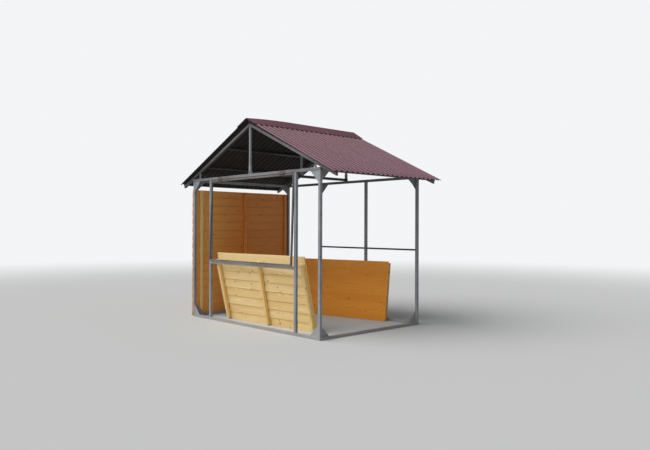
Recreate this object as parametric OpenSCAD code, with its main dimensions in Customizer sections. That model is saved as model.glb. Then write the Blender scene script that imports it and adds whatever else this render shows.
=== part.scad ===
// Market hut, as it stands half put together: a welded frame of square steel
// tube under a gable roof of profiled sheet. One side wall is boarded, the
// serving flap hangs as a bare frame, and two loose board panels lean inside.
// Millimetres. Z is up from the ground, and the serving front faces -Y.
// The origin is on the ground, under the middle of the roof's outline.

/* [Frame] */
// Width of the frame, outside
frame_w = 3000; // [2700:10:3600]
// Depth of the frame, outside
frame_d = 2000; // [1800:10:2600]
// Height of the frame, from the ground to the top of the header
frame_h = 2200; // [2150:10:2500]
// Side of the square tube of the rails, posts, studs and rafters
tube = 40; // [36:1:50]
// Leg of the triangular corner gussets
gusset_leg = 155; // [120:5:200]
// Thickness of the gusset plates
gusset_t = 5; // [3:1:8]
// Depth of the front and back gussets behind the frame's outer face
gusset_inset = 6; // [0:1:15]

/* [Openings] */
// Clear width of each narrow bay beside the serving opening
side_bay = 430; // [300:5:500]
// Height of the fixed counter rail's top
counter_h = 910; // [800:5:960]
// Clear width of the doorway at the back, beside the boarded wall
door_w = 820; // [700:5:1000]
// Clear width between the doorway's stud and the second stud at the back
back_bay = 1030; // [900:5:1200]
// Height of the back rail's top
back_rail_h = 1118; // [1000:1:1300]
// Side of the back rail's square tube
back_rail_t = 25; // [20:1:30]

/* [Roof] */
// Slope of the roof, in degrees
roof_pitch = 25.5; // [22:0.5:30]
// Reach of the roof sheets past the frame at each side
side_overhang = 300; // [290:5:400]
// Reach of the roof sheets past the frame at the front
front_overhang = 60; // [50:1:120]
// Reach of the roof sheets past the frame at the back
back_overhang = 150; // [60:1:220]
// Reach of the rafters' tails past the frame at each side
rafter_tail = 280; // [200:5:280]
// Side of the king posts' square tube
king_post = 30; // [20:1:40]
// Side of the short props between the header and the rafters
prop_t = 20; // [12:1:25]
// Distance of the left-hand props from the frame's left side
prop_left = 170; // [130:5:260]
// Distance of the right-hand props from the frame's right side
prop_right = 100; // [80:5:260]
// Width of the purlins
purlin_w = 30; // [20:1:40]
// Height of the sheets over the rafters, above the frame's sides
sheet_rise = 20; // [15:1:30]
// Purlins on each slope
purlin_count = 3; // [2:1:4]
// Distance of the topmost purlin from the ridge, level
ridge_purlin = 680; // [600:5:720]

/* [Roof sheet] */
// Height of the sheet's ribs
rib_h = 15; // [10:1:25]
// Distance from one rib to the next
rib_pitch = 96; // [80:1:140]
// Width of a rib's flat top
rib_top = 30; // [20:1:40]
// Width of a rib at its foot
rib_foot = 52; // [45:1:60]
// Thickness of the sheet
sheet_t = 2; // [1:0.5:3]
// Reach of the ridge cap down each slope
cap_reach = 250; // [120:5:300]
// Thickness of the ridge cap
cap_t = 3; // [2:0.5:5]
// Length of the ridge cap's front piece
cap_front = 720; // [500:10:900]
// Lap of the ridge cap's rear piece over the front one
cap_lap = 60; // [40:5:100]
// Height by which the rear piece, folded more sharply, stands up along the ridge
cap_lift = 28; // [10:1:40]

/* [King post feet] */
// Height of the bolted plates at a king post's foot
foot_h = 70; // [50:5:140]
// Thickness of the bolted plates
foot_t = 4; // [3:1:5]

/* [Serving flap] */
// Side of the flap's square tube
flap_t = 25; // [20:1:30]
// Clearance round the flap
flap_gap = 6; // [5:0.5:10]
// Radius of the hinge barrels
hinge_r = 8; // [6:0.5:10]
// Radius of the hinge pins
pin_r = 4; // [2.5:0.5:5]
// Play round the pins in the flap's barrels
pin_play = 0.1; // [0.05:0.05:0.3]
// Length of one hinge, both barrels
hinge_len = 100; // [70:5:140]
// Distance of each hinge's middle from the flap's end
hinge_inset = 240; // [120:5:300]
// Play between the two barrels of a hinge
hinge_play = 1; // [0.5:0.5:2]

/* [Boards] */
// Gap between the boarded side wall's top and the rail over it
wall_drop = 130; // [20:5:300]
// Thickness of the side wall's lapped boards
wall_t = 32; // [24:1:40]
// Gap under the side wall's boards
wall_gap = 10; // [5:1:30]
// Width of the side wall's battens
wall_batten_w = 50; // [40:1:70]
// Thickness of the side wall's battens
wall_batten_t = 28; // [20:1:30]
// Distance of the front batten from the frame's front
wall_batten_front = 120; // [80:5:200]
// Distance of the back batten from the frame's back
wall_batten_back = 65; // [50:5:200]
// Length of the counter panel
panel_w = 1945; // [1600:5:2000]
// Height of the counter panel, along its face
panel_h = 1065; // [1030:5:1100]
// Thickness of the loose panels' lapped boards
panel_t = 38; // [24:1:44]
// Lean of the counter panel towards the front, in degrees
panel_lean = 13.5; // [12:0.5:18]
// Turn of the counter panel about its left-hand foot, in degrees
panel_turn = 2; // [1:0.5:3]
// Distance of the counter panel's left-hand foot from the frame's left side
panel_side = 585; // [540:5:640]
// Length of the counter panel's battens
panel_batten_len = 950; // [930:5:980]
// Width of the loose panels' battens
batten_w = 50; // [40:1:60]
// Thickness of the loose panels' battens
batten_t = 45; // [25:1:45]
// Length of the back panel
back_panel_w = 1970; // [1500:10:2000]
// Height of the back panel, along its face
back_panel_h = 915; // [800:5:960]
// Lean of the back panel towards the back, in degrees
back_panel_lean = 7.5; // [5:0.5:8]
// Turn of the back panel about its right-hand foot, in degrees
back_panel_turn = 11; // [9:0.5:14]
// Distance of the back panel's right-hand foot from the frame's right side
back_panel_side = 536; // [450:2:600]
// Distance of the back panel's right-hand foot from the frame's back
back_panel_back = 160; // [150:2:260]

/* [Hidden] */
steel = [0.60, 0.64, 0.67];
dark_steel = [0.36, 0.38, 0.41];
maroon = [0.50, 0.36, 0.42];
stained = [0.63, 0.36, 0.12];
raw_wood = [0.84, 0.71, 0.47];
round_sides = 48;

// Planes of the frame's outside
roof_len = front_overhang + frame_d + back_overhang;
front_y = front_overhang - roof_len / 2;
back_y = front_y + frame_d;
left_x = -frame_w / 2;
right_x = frame_w / 2;
header_z = frame_h - tube;
wall_h = header_z - wall_drop;
beam_top = frame_h + tube;

// Studs
stud_near = tube + side_bay;
stud_left_x = left_x + stud_near;
stud_right_x = right_x - stud_near - tube;
stud_back_x = left_x + tube + door_w;
stud_bay_x = stud_back_x + tube + back_bay;
middle_y = (front_y + back_y - tube) / 2;

// Roof: the sheets lie on the ridge beam and on the purlins
slope = tan(roof_pitch);
sheet_under = frame_h + frame_w / 2 * slope + (tube + sheet_rise) / cos(roof_pitch);
slope_len = (frame_w / 2 + side_overhang) / cos(roof_pitch);
purlin_reach = frame_w / 2 + side_overhang - purlin_w;
purlin_step = (purlin_reach - ridge_purlin) / (purlin_count - 1);
king_y = [front_y, middle_y, back_y - tube];
gable_y = [king_y[0], king_y[2]];
cap_gap = 0.2;
ridge_beam_z = sheet_under - tube / 2 * slope - cap_gap - tube;

// Rafters: they bear on the frame's outer top edges and carry the ridge beam on
// their apex, so they are a little flatter than the sheets
rafter_climb = ridge_beam_z - frame_h;
rafter_pitch = acos(tube / norm([frame_w / 2, rafter_climb])) - atan2(frame_w / 2, rafter_climb);
rafter_slope = tan(rafter_pitch);
rafter_rise = tube / cos(rafter_pitch);
apex_under = ridge_beam_z - rafter_rise;
purlin_slack = 0.05;
rib_count = floor(roof_len / rib_pitch);
rib_step = roof_len / rib_count;

// Serving flap: it hangs free, so its middle of mass is under its hinge line
flap_w = stud_right_x - stud_left_x - tube - 2 * flap_gap;
flap_h = header_z - counter_h - 2 * flap_gap;
hinge_y = front_y - hinge_r - 1;
hinge_z = header_z - flap_gap / 2;
flap_back = hinge_r + 1 + flap_t / 2;
flap_hang = atan(flap_back / (flap_gap / 2 + flap_h / 2));

// Counter panel: its left-hand batten leans on the counter rail's inner edge
lean_gap = 2;
panel_foot = tube + lean_gap + counter_h * tan(panel_lean) + batten_t / cos(panel_lean);
batten_foot = 20;

// Straight tube lengths
module bar_x(x0, x1, y, z, side) {
    translate([x0, y, z]) cube([x1 - x0, side, side]);
}

module bar_y(y0, y1, x, z, side) {
    translate([x, y0, z]) cube([side, y1 - y0, side]);
}

module post(x, y, z0, z1, side) {
    translate([x, y, z0]) cube([side, side, z1 - z0]);
}

// Bottom rails
module base_front() {
    color(steel) bar_x(left_x, right_x, front_y, 0, tube);
}

module base_back() {
    color(steel) bar_x(left_x, right_x, back_y - tube, 0, tube);
}

module base_left() {
    color(steel) bar_y(front_y + tube, back_y - tube, left_x, 0, tube);
}

module base_right() {
    color(steel) bar_y(front_y + tube, back_y - tube, right_x - tube, 0, tube);
}

// Corner posts
module corner_post(x, y) {
    color(steel) post(x, y, tube, header_z, tube);
}

module post_front_left() {
    corner_post(left_x, front_y);
}

module post_front_right() {
    corner_post(right_x - tube, front_y);
}

module post_back_left() {
    corner_post(left_x, back_y - tube);
}

module post_back_right() {
    corner_post(right_x - tube, back_y - tube);
}

// Top rails
module header_front() {
    color(steel) bar_x(left_x, right_x, front_y, header_z, tube);
}

module header_back() {
    color(steel) bar_x(left_x, right_x, back_y - tube, header_z, tube);
}

module top_rail_left() {
    color(steel) bar_y(front_y + tube, back_y - tube, left_x, header_z, tube);
}

module top_rail_right() {
    color(steel) bar_y(front_y + tube, back_y - tube, right_x - tube, header_z, tube);
}

// Beam under the ridge, on top of the headers, that the king posts stand on
module middle_beam() {
    color(dark_steel) bar_y(front_y, back_y, -tube / 2, frame_h, tube);
}

// Studs and rails in the openings
module stud_front_left() {
    color(steel) post(stud_left_x, front_y, tube, header_z, tube);
}

module stud_front_right() {
    color(steel) post(stud_right_x, front_y, tube, header_z, tube);
}

module studs_back() {
    color(steel)
        for (x = [stud_back_x, stud_bay_x])
            post(x, back_y - tube, tube, header_z, tube);
}

module counter_rail() {
    color(steel) bar_x(stud_left_x + tube, stud_right_x, front_y, counter_h - tube, tube);
}

module back_rail() {
    color(dark_steel)
        for (ends = [[stud_back_x + tube, stud_bay_x], [stud_bay_x + tube, right_x - tube]])
            bar_x(ends[0], ends[1], back_y - (tube + back_rail_t) / 2,
                  back_rail_h - back_rail_t, back_rail_t);
}

// One gusset in the XZ plane, with its square corner at the origin
module gusset(turn_x, turn_z) {
    mirror([turn_x, 0, 0]) mirror([0, 0, turn_z])
        rotate([90, 0, 0])
            translate([0, 0, -gusset_t])
                linear_extrude(gusset_t)
                    polygon([[0, 0], [gusset_leg, 0], [0, gusset_leg]]);
}

// Four gussets in the corners of a rectangle that is open_w wide
module gusset_set(open_w) {
    for (side = [0, 1], top = [0, 1])
        translate([side * open_w, 0, top ? header_z : tube]) gusset(side, top);
}

module gussets_front() {
    color(steel) translate([left_x + tube, front_y + gusset_inset, 0])
        gusset_set(frame_w - 2 * tube);
}

// At the back they fill the corners between the doorway's stud and the right side
module gussets_back() {
    color(steel)
        translate([stud_back_x + tube, back_y - gusset_inset - gusset_t, 0])
            gusset_set(right_x - tube - stud_back_x - tube);
}

module gussets_side() {
    translate([0, front_y + tube, 0]) rotate([0, 0, 90]) gusset_set(frame_d - 2 * tube);
}

// At the sides they are flush with the tubes' inner faces, behind the battens
module gussets_left() {
    color(steel) translate([left_x + tube, 0, 0]) gussets_side();
}

module gussets_right() {
    color(steel) translate([right_x - tube + gusset_t, 0, 0]) gussets_side();
}

// King posts: two under the gables' apexes, and one under the ridge beam's middle
module king_posts() {
    gable_top = apex_under - king_post / 2 * rafter_slope;
    color(steel)
        for (y = king_y)
            post(-king_post / 2, y + (tube - king_post) / 2, beam_top,
                 y == middle_y ? ridge_beam_z : gable_top, king_post);
}

// Beam on the gables' apexes, under the sheets' upper edges
module ridge_beam() {
    color(dark_steel) bar_y(front_y, back_y, -tube / 2, ridge_beam_z, tube);
}

// Pairs of plates that bolt each king post to the beam, on the post's two sides
module king_post_feet() {
    color(steel)
        for (y = king_y, side = [-1, 1])
            translate([side > 0 ? king_post / 2 : -king_post / 2 - foot_t,
                       y + (tube - king_post) / 2, beam_top])
                cube([foot_t, king_post, foot_h]);
}

// The two gables' rafters on one slope; side is 1 for the right and -1 for the left
function rafter_under(x) = apex_under - x * rafter_slope;

module rafters(side) {
    tail = frame_w / 2 + rafter_tail;
    color(steel)
        for (y = gable_y)
            translate([0, y + tube, 0]) rotate([90, 0, 0]) linear_extrude(tube)
                polygon([
                    [0, rafter_under(0)],
                    [side * tail, rafter_under(tail)],
                    [side * tail, rafter_under(tail) + rafter_rise],
                    [0, rafter_under(0) + rafter_rise]
                ]);
}

module rafters_left() {
    rafters(-1);
}

module rafters_right() {
    rafters(1);
}

// Short props between the headers and the rafters, near the corners
module rafter_prop(from_side, side, y) {
    reach = frame_w / 2 - from_side;
    translate([0, y + (tube + prop_t) / 2, 0]) rotate([90, 0, 0]) linear_extrude(prop_t)
        polygon([
            [side * reach, frame_h],
            [side * (reach - prop_t), frame_h],
            [side * (reach - prop_t), rafter_under(reach - prop_t)],
            [side * reach, rafter_under(reach)]
        ]);
}

module rafter_props() {
    color(steel)
        for (y = gable_y) {
            rafter_prop(prop_left, -1, y);
            rafter_prop(prop_right, 1, y);
        }
}

// Lays its children on the right-hand slope: X runs down the slope from the
// ridge, Y along the roof from its front edge, and Z out of the slope
module on_slope(z_at_ridge) {
    translate([0, -roof_len / 2, z_at_ridge]) rotate([0, roof_pitch, 0]) children();
}

// Room between the rafters and the sheets, square to the sheets, at a purlin
// whose lower edge is that far down the slope
function purlin_room(far) =
    (sheet_under - ridge_beam_z - far * (sin(roof_pitch) - cos(roof_pitch) * rafter_slope))
    / (cos(roof_pitch) + sin(roof_pitch) * rafter_slope);

// The purlins fill the wedge between the rafters and the sheets
module purlins(side) {
    color(dark_steel) mirror([side < 0 ? 1 : 0, 0, 0])
        on_slope(sheet_under)
            for (i = [0 : purlin_count - 1]) {
                down = (ridge_purlin + i * purlin_step) / cos(roof_pitch);
                height = purlin_room(down + purlin_w) - purlin_slack;
                translate([down, front_overhang, -height])
                    cube([purlin_w, frame_d, height]);
            }
}

module purlins_left() {
    purlins(-1);
}

module purlins_right() {
    purlins(1);
}

// Outline of one rib's upper surface, as points across the sheet
function rib_points(i, lift) = let (mid = (i + 0.5) * rib_step) [
    [mid - rib_foot / 2, lift],
    [mid - rib_top / 2, rib_h - sheet_t + lift],
    [mid + rib_top / 2, rib_h - sheet_t + lift],
    [mid + rib_foot / 2, lift]
];

// Profile of the whole sheet: the upper line, then the lower one back again
module sheet_profile() {
    upper = [for (i = [0 : rib_count - 1]) each rib_points(i, sheet_t)];
    lower = [for (i = [rib_count - 1 : -1 : 0], k = [3 : -1 : 0]) rib_points(i, 0)[k]];
    polygon(concat([[0, sheet_t]], upper, [[roof_len, sheet_t], [roof_len, 0]],
                   lower, [[0, 0]]));
}

module roof_sheet(side) {
    color(maroon) mirror([side < 0 ? 1 : 0, 0, 0])
        on_slope(sheet_under)
            rotate([90, 0, 90]) linear_extrude(slope_len) sheet_profile();
}

module roof_sheet_left() {
    roof_sheet(-1);
}

module roof_sheet_right() {
    roof_sheet(1);
}

// One piece of the folded cap, its edges on the ribs of both slopes
module cap_fold(length, lift) {
    under = sheet_under + (rib_h + cap_gap) / cos(roof_pitch);
    reach = cap_reach * cos(roof_pitch);
    rise = cap_t / cos(roof_pitch);
    edge = under - reach * slope;
    rotate([90, 0, 0]) linear_extrude(length)
        polygon([
            [0, under + lift],
            [reach, edge],
            [reach, edge + rise],
            [0, under + lift + rise],
            [-reach, edge + rise],
            [-reach, edge]
        ]);
}

// Ridge cap: a front piece that lies close and a rear piece that stands up along the ridge
module ridge_cap() {
    rear = roof_len - cap_front + cap_lap;
    color(maroon) {
        translate([0, cap_front - roof_len / 2, 0]) cap_fold(cap_front, 0);
        translate([0, roof_len / 2, 0]) cap_fold(rear, cap_lift);
    }
}

// Boarded side wall, outside the posts, and its battens between the rails
module left_wall() {
    color(stained)
        translate([left_x - wall_t, front_y, wall_gap])
            cube([wall_t, frame_d, wall_h - wall_gap]);
}

module left_wall_battens() {
    front = front_y + wall_batten_front;
    back = back_y - wall_batten_back - wall_batten_w;
    color(stained)
        for (y = [front, (front + back) / 2, back])
            translate([left_x, y, tube])
                cube([wall_batten_t, wall_batten_w, wall_h - tube]);
}

// Counter panel: its foot stands inside, and it leans out over the counter rail
module in_counter_panel() {
    translate([left_x + panel_side, front_y + panel_foot, 0])
        rotate([0, 0, panel_turn]) rotate([panel_lean, 0, 0]) children();
}

module counter_panel() {
    color(raw_wood) in_counter_panel() cube([panel_w, panel_t, panel_h]);
}

module counter_panel_battens() {
    color(raw_wood) in_counter_panel()
        for (x = [0, (panel_w - batten_w) / 2, panel_w - batten_w])
            translate([x, -batten_t, batten_foot])
                cube([batten_w, batten_t, panel_batten_len]);
}

// Back panel: its right-hand foot is the pivot, and its battens face the back
module in_back_panel() {
    drop = panel_t * sin(back_panel_lean);
    translate([right_x - back_panel_side, back_y - back_panel_back, drop])
        rotate([0, 0, back_panel_turn]) rotate([-back_panel_lean, 0, 0])
            translate([-back_panel_w, 0, 0]) children();
}

module back_panel() {
    color(stained) in_back_panel() cube([back_panel_w, panel_t, back_panel_h]);
}

module back_panel_battens() {
    color(stained) in_back_panel()
        for (x = [0, (back_panel_w - batten_w) / 2, back_panel_w - batten_w])
            translate([x, panel_t, batten_foot])
                cube([batten_w, batten_t, back_panel_h - 2 * batten_foot]);
}

// Places its children at the hinge line, turned to where the flap hangs
module at_flap() {
    translate([0, hinge_y, hinge_z]) rotate([-flap_hang, 0, 0]) children();
}

// A bar of the flap, measured from its top left corner
module flap_bar(x, z, w, h) {
    color(steel) at_flap()
        translate([x - flap_w / 2, hinge_r + 1, -flap_gap / 2 - z - h])
            cube([w, flap_t, h]);
}

module flap_top_rail() {
    flap_bar(0, 0, flap_w, flap_t);
}

module flap_bottom_rail() {
    flap_bar(0, flap_h - flap_t, flap_w, flap_t);
}

module flap_stiles() {
    for (x = [0, flap_w - flap_t])
        flap_bar(x, flap_t, flap_t, flap_h - 2 * flap_t);
}

// One barrel of a hinge, with the lug that welds it to what it carries
module hinge_barrel(x, lug_z, lug_h, bore_r) {
    barrel_len = (hinge_len - hinge_play) / 2;
    difference() {
        union() {
            translate([x, 0, 0]) rotate([0, 90, 0])
                cylinder(h = barrel_len, r = hinge_r, $fn = round_sides);
            translate([x, 0, lug_z]) cube([barrel_len, hinge_r + 1, lug_h]);
        }
        translate([x - 1, 0, 0]) rotate([0, 90, 0])
            cylinder(h = barrel_len + 2, r = bore_r, $fn = round_sides);
    }
}

function hinge_middles() = [hinge_inset - flap_w / 2, flap_w / 2 - hinge_inset];

// Barrels welded to the header
module hinge_barrels() {
    color(steel)
        for (x = hinge_middles())
            translate([0, hinge_y, hinge_z])
                hinge_barrel(x - hinge_len / 2, flap_gap / 2, hinge_r - flap_gap / 2, pin_r);
}

// Pins fixed in the header's barrels, on which the flap's barrels turn
module hinge_pins() {
    color(dark_steel)
        for (x = hinge_middles())
            translate([x - hinge_len / 2, hinge_y, hinge_z]) rotate([0, 90, 0])
                cylinder(h = hinge_len, r = pin_r, $fn = round_sides);
}

// Barrels welded to the flap
module flap_hinge_barrels() {
    color(steel)
        for (x = hinge_middles())
            at_flap()
                hinge_barrel(x + hinge_play / 2, -hinge_r, hinge_r - flap_gap / 2,
                             pin_r + pin_play);
}

base_front();
base_back();
base_left();
base_right();
post_front_left();
post_front_right();
post_back_left();
post_back_right();
header_front();
header_back();
top_rail_left();
top_rail_right();
middle_beam();
stud_front_left();
stud_front_right();
studs_back();
counter_rail();
back_rail();
gussets_front();
gussets_back();
gussets_left();
gussets_right();
king_posts();
king_post_feet();
ridge_beam();
rafters_left();
rafters_right();
rafter_props();
purlins_left();
purlins_right();
roof_sheet_left();
roof_sheet_right();
ridge_cap();
left_wall();
left_wall_battens();
counter_panel();
counter_panel_battens();
back_panel();
back_panel_battens();
hinge_barrels();
hinge_pins();
flap_top_rail();
flap_bottom_rail();
flap_stiles();
flap_hinge_barrels();
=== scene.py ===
import itertools
import math
import random

import bpy
from mathutils import Matrix, Vector, noise


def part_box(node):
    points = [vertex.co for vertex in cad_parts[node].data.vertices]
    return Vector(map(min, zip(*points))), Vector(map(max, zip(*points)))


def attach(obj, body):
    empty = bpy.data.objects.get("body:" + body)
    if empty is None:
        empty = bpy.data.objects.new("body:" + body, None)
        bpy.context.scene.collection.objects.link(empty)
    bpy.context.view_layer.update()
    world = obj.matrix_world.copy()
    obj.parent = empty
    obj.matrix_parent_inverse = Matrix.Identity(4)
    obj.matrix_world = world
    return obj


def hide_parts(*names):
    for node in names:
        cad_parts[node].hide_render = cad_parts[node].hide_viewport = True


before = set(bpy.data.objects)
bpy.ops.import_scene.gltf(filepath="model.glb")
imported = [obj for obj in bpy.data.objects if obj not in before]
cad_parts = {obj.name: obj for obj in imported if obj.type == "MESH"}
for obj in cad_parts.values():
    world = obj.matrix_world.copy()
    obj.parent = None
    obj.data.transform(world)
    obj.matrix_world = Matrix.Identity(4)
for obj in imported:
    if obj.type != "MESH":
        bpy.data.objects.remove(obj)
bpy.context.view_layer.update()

X, Y, Z = range(3)
LOW, HIGH = range(2)
SIDES = {-1: "left", 1: "right"}


def edge(node, end, axis):
    """Where a CAD node begins (LOW) or ends (HIGH) along an axis, to a hundredth of a millimetre."""
    return round(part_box(node)[end][axis], 5)


# The welded frame, metres
LEFT, RIGHT = edge("base_front", LOW, X), edge("base_front", HIGH, X)
FRONT, BACK = edge("header_front", LOW, Y), edge("header_back", HIGH, Y)
TUBE = edge("base_front", HIGH, Z)
HEADER_TOP = edge("header_front", HIGH, Z)
COUNTER_TOP = edge("counter_rail", HIGH, Z)
KING_Y = (FRONT, (FRONT + BACK - TUBE) / 2, BACK - TUBE)
GABLE_Y = (KING_Y[0], KING_Y[-1])
KING_POST, PROP = 0.030, 0.020
TUBE_WALL, TUBE_ROUND = 0.002, 0.004
THIN_TUBE, PLATE_EDGE, THIN_EDGE, TUBE_EDGE = 0.030, 0.0008, 0.0022, 0.0032
BEAM_WALL, BEAM_GREY_END = 0.003, 0.045

# Spots burnt by the hinge welds
HINGE_INSET = 0.240
HINGE_X = edge("flap_top_rail", HIGH, X) - HINGE_INSET
HINGE_Z = (edge("hinge_pins", LOW, Z) + edge("hinge_pins", HIGH, Z)) / 2
HINGE_Y = FRONT - 0.004
HOT = [(side * HINGE_X, HINGE_Y, HINGE_Z) for side in SIDES]

# The roof, metres
PITCH = math.radians(25.5)
COS, SIN, TAN = math.cos(PITCH), math.sin(PITCH), math.tan(PITCH)
SIDE_OVERHANG, RAFTER_TAIL = 0.300, 0.280
SHEET_RISE, CAP_GAP = 0.020, 0.0002
ROOF_FRONT, ROOF_BACK = edge("ridge_cap", LOW, Y), edge("ridge_cap", HIGH, Y)
ROOF_LEN = ROOF_BACK - ROOF_FRONT
HALF_ROOF, RAFTER_END = RIGHT + SIDE_OVERHANG, RIGHT + RAFTER_TAIL
SLOPE_LEN = HALF_ROOF / COS
SHEET_UNDER = HEADER_TOP + RIGHT * TAN + (TUBE + SHEET_RISE) / COS
RIDGE_Z = SHEET_UNDER - TUBE / 2 * TAN - CAP_GAP - TUBE
RAFTER_CLIMB = RIDGE_Z - HEADER_TOP
RAFTER_PITCH = math.acos(TUBE / math.hypot(RIGHT, RAFTER_CLIMB)) - math.atan2(RIGHT, RAFTER_CLIMB)
RAFTER_TAN = math.tan(RAFTER_PITCH)
RAFTER_RISE = TUBE / math.cos(RAFTER_PITCH)
APEX_UNDER = RIDGE_Z - RAFTER_RISE
PURLIN_W, PURLIN_WALL, PURLIN_ROUND, PURLIN_SLACK = 0.030, 0.0015, 0.0025, 0.00005
RIDGE_PURLIN, EAVE_PURLIN = 0.680, HALF_ROOF - PURLIN_W
PURLIN_AT = (RIDGE_PURLIN, (RIDGE_PURLIN + EAVE_PURLIN) / 2, EAVE_PURLIN)

# The profiled sheets and the ridge cap, metres
SKIN = 0.0012
RIB_PITCH = 0.096
RIBS = int(ROOF_LEN / RIB_PITCH)
RIB_STEP = ROOF_LEN / RIBS
RIB_TOP, RIB_FOOT, RIB_H, RIB_SLACK, BEND = 0.030, 0.052, 0.015, 0.0002, 0.0030
SHEET_START, FRONT_SHEET_SHORT = 0.012, 0.0015
LAP_RIB = 11
CAP_WIDTH = 0.25
CAP_REACH = CAP_WIDTH * COS
CAP_FOOT = RIB_H + CAP_GAP
CAP_FRONT, CAP_LAP, CAP_LIFT, CAP_OVER_CAP = 0.720, 0.060, 0.028, 0.0013
CAP_UNDER, CAP_OVER = CAP_FOOT + 0.0002, CAP_FOOT + 0.0014
HEM_UNDER, HEM_OVER, HEM_RISE, HEM_W = CAP_FOOT - 0.0008, CAP_FOOT - 0.0002, 0.0004, 0.011

# Screws and bolts, metres. Washers and threads list distances along their axis with radii
SCREW_HEAD, SCREW_HEIGHT = 0.0080, 0.0042
SCREW_WASHER = [(-0.001, 0.0070), (0.0008, 0.0070), (0.0016, 0.0058)]
CAP_SCREW_RIBS, CAP_SCREW_DOWN = (1, 5, 9, 14, 17, 21), 0.218
BOLT_HEAD, BOLT_HEIGHT, NUT_HEIGHT, WASHER_T = 0.013, 0.0055, 0.0065, 0.0016
BOLT_WASHER = [(0, 0.0080), (0.0014, 0.0080), (WASHER_T, 0.0077)]
BOLT_THREAD = [(0, 0.0040), (0.0042, 0.0040), (0.0050, 0.0033)]
BOLTS_UP = (0.012, 0.043)

# The boards, metres and degrees. Courses are the heights of the boards' lower edges
WALL_FOOT, WALL_TOP = edge("left_wall", LOW, Z), edge("left_wall", HIGH, Z)
WALL_BOARDS = 15
BOARD_RISE, BOARD_LAP = 0.134, 0.018
BATTEN_W, BATTEN_T, BATTEN_FOOT, WALL_BATTEN_T = 0.050, 0.045, 0.020, 0.028
BOARD_PITH, BATTEN_PITH = 0.11, 0.05
COUNTER_AT, COUNTER_TURN, COUNTER_LEAN = (-0.915, -0.7382, 0.0), 2, 13.5
COUNTER_W, COUNTER_H, COUNTER_BATTEN, COUNTER_ASKEW = 1.945, 1.065, 0.950, 1.9
COUNTER_COURSES = [0.0] + [0.122 + BOARD_RISE * k for k in range(7)]
PANEL_AT, PANEL_TURN, PANEL_LEAN, PANEL_SET = (0.964, 0.795, 0.005), 11, -7.5, 0.038
PANEL_W, PANEL_H, PANEL_BATTEN = 1.970, 0.915, 0.875
PANEL_COURSES = [0.0] + [0.111 + BOARD_RISE * k for k in range(6)]
WALL_COURSES = [WALL_FOOT + (WALL_TOP - WALL_FOOT) / WALL_BOARDS * k for k in range(WALL_BOARDS)]
UPRIGHT = Matrix.Rotation(-math.pi / 2, 4, "Y")

# Weld beads, metres. A bead ends a trim's length short of the edge
WELD_R, FLAT_WELD_R, WELD_TRIM, RIPPLE = 0.0022, 0.0009, 0.004, 0.0032

# Floor, light and camera, metres and degrees
HORIZON = (0.90, 0.91, 0.92, 1)
FLOOR_SEEN, FLOOR_LIT = (0.52, 0.53, 0.53, 1), (0.43, 0.43, 0.425, 1)
FLOOR_SIDE, FADE_START, FADE_END = 120, 7.0, 20.0
SKY, SKY_FRONT, SKY_BACK = (0.97, 0.98, 1.0, 1), 0.72, 0.10
SUN_AHEAD, SUN_COLOUR, SUN_STRENGTH, SUN_SPREAD = (0.32, 0.56, -0.766), (1.0, 0.985, 0.96), 2.75, 56
CAMERA_AT, CAMERA_YAW, CAMERA_TILT, CAMERA_ROLL = (7.2876, -6.4335, 1.4277), 46.60, 0.26, 0.208
FOCAL_PIXELS, PICTURE_PIXELS, SENSOR = 626.06, 650, 36.0

# About a full turn in radians, for random phases
TURN = 6.3


def rafter_under(x):
    """Height of the rafters' lower face at x."""
    return APEX_UNDER - abs(x) * RAFTER_TAN


def purlin_height(u):
    """Height of a purlin whose upper edge is u down the slope."""
    room = SHEET_UNDER - RIDGE_Z - (u + PURLIN_W) * (SIN - COS * RAFTER_TAN)
    return room / (COS + SIN * RAFTER_TAN) - PURLIN_SLACK


def slope(side):
    """Places a point that is so far down a slope, back along it and above the sheets' underside."""
    return Matrix((
        (side * COS, 0, side * SIN, 0),
        (0, 1, 0, ROOF_FRONT),
        (-SIN, 0, COS, SHEET_UNDER),
        (0, 0, 0, 1)))


# Mesh making
def add_object(name, data):
    thing = bpy.data.objects.new(name, data)
    bpy.context.scene.collection.objects.link(thing)
    return thing


class Build:
    """Gathers faces into one mesh, with a grain coordinate and a board number at each point."""

    def __init__(self):
        self.points, self.grain, self.board = [], [], []
        self.faces, self.mats, self.smooth = [], [], []

    def add(self, points, faces, mat=0, smooth=False, grain=None, board=0.0):
        """Adds points and faces on them, and returns the first point's number."""
        first = len(self.points)
        self.points.extend(points)
        self.grain.extend(grain if grain else points)
        self.board.extend([board] * len(points))
        self.more(first, faces, mat, smooth)
        return first

    def more(self, first, faces, mat=0, smooth=False):
        """Adds faces that count their points from the one numbered first."""
        self.faces.extend([first + i for i in face] for face in faces)
        self.mats.extend([mat] * len(faces))
        self.smooth.extend(smooth if isinstance(smooth, list) else [smooth] * len(faces))

    def make(self, name, materials, node=None):
        """Makes the piece, which rides on the hut and may stand for a CAD node."""
        mesh = bpy.data.meshes.new(name)
        mesh.from_pydata([tuple(point) for point in self.points], [], self.faces)
        for material in materials:
            mesh.materials.append(material)
        mesh.polygons.foreach_set("material_index", self.mats)
        mesh.polygons.foreach_set("use_smooth", self.smooth)
        grain = mesh.attributes.new("grain", "FLOAT_VECTOR", "POINT")
        grain.data.foreach_set("vector", [part for point in self.grain for part in point])
        board = mesh.attributes.new("board", "FLOAT", "POINT")
        board.data.foreach_set("value", self.board)
        mesh.update()
        piece = add_object(name, mesh)
        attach(piece, "hut")
        if node:
            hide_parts(node)


def rectangle(width, height, inset=0.0):
    """A rectangle round the origin, with its sides moved in by inset."""
    x, y = width / 2 - inset, height / 2 - inset
    return [(-x, -y), (x, -y), (x, y), (-x, y)]


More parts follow.
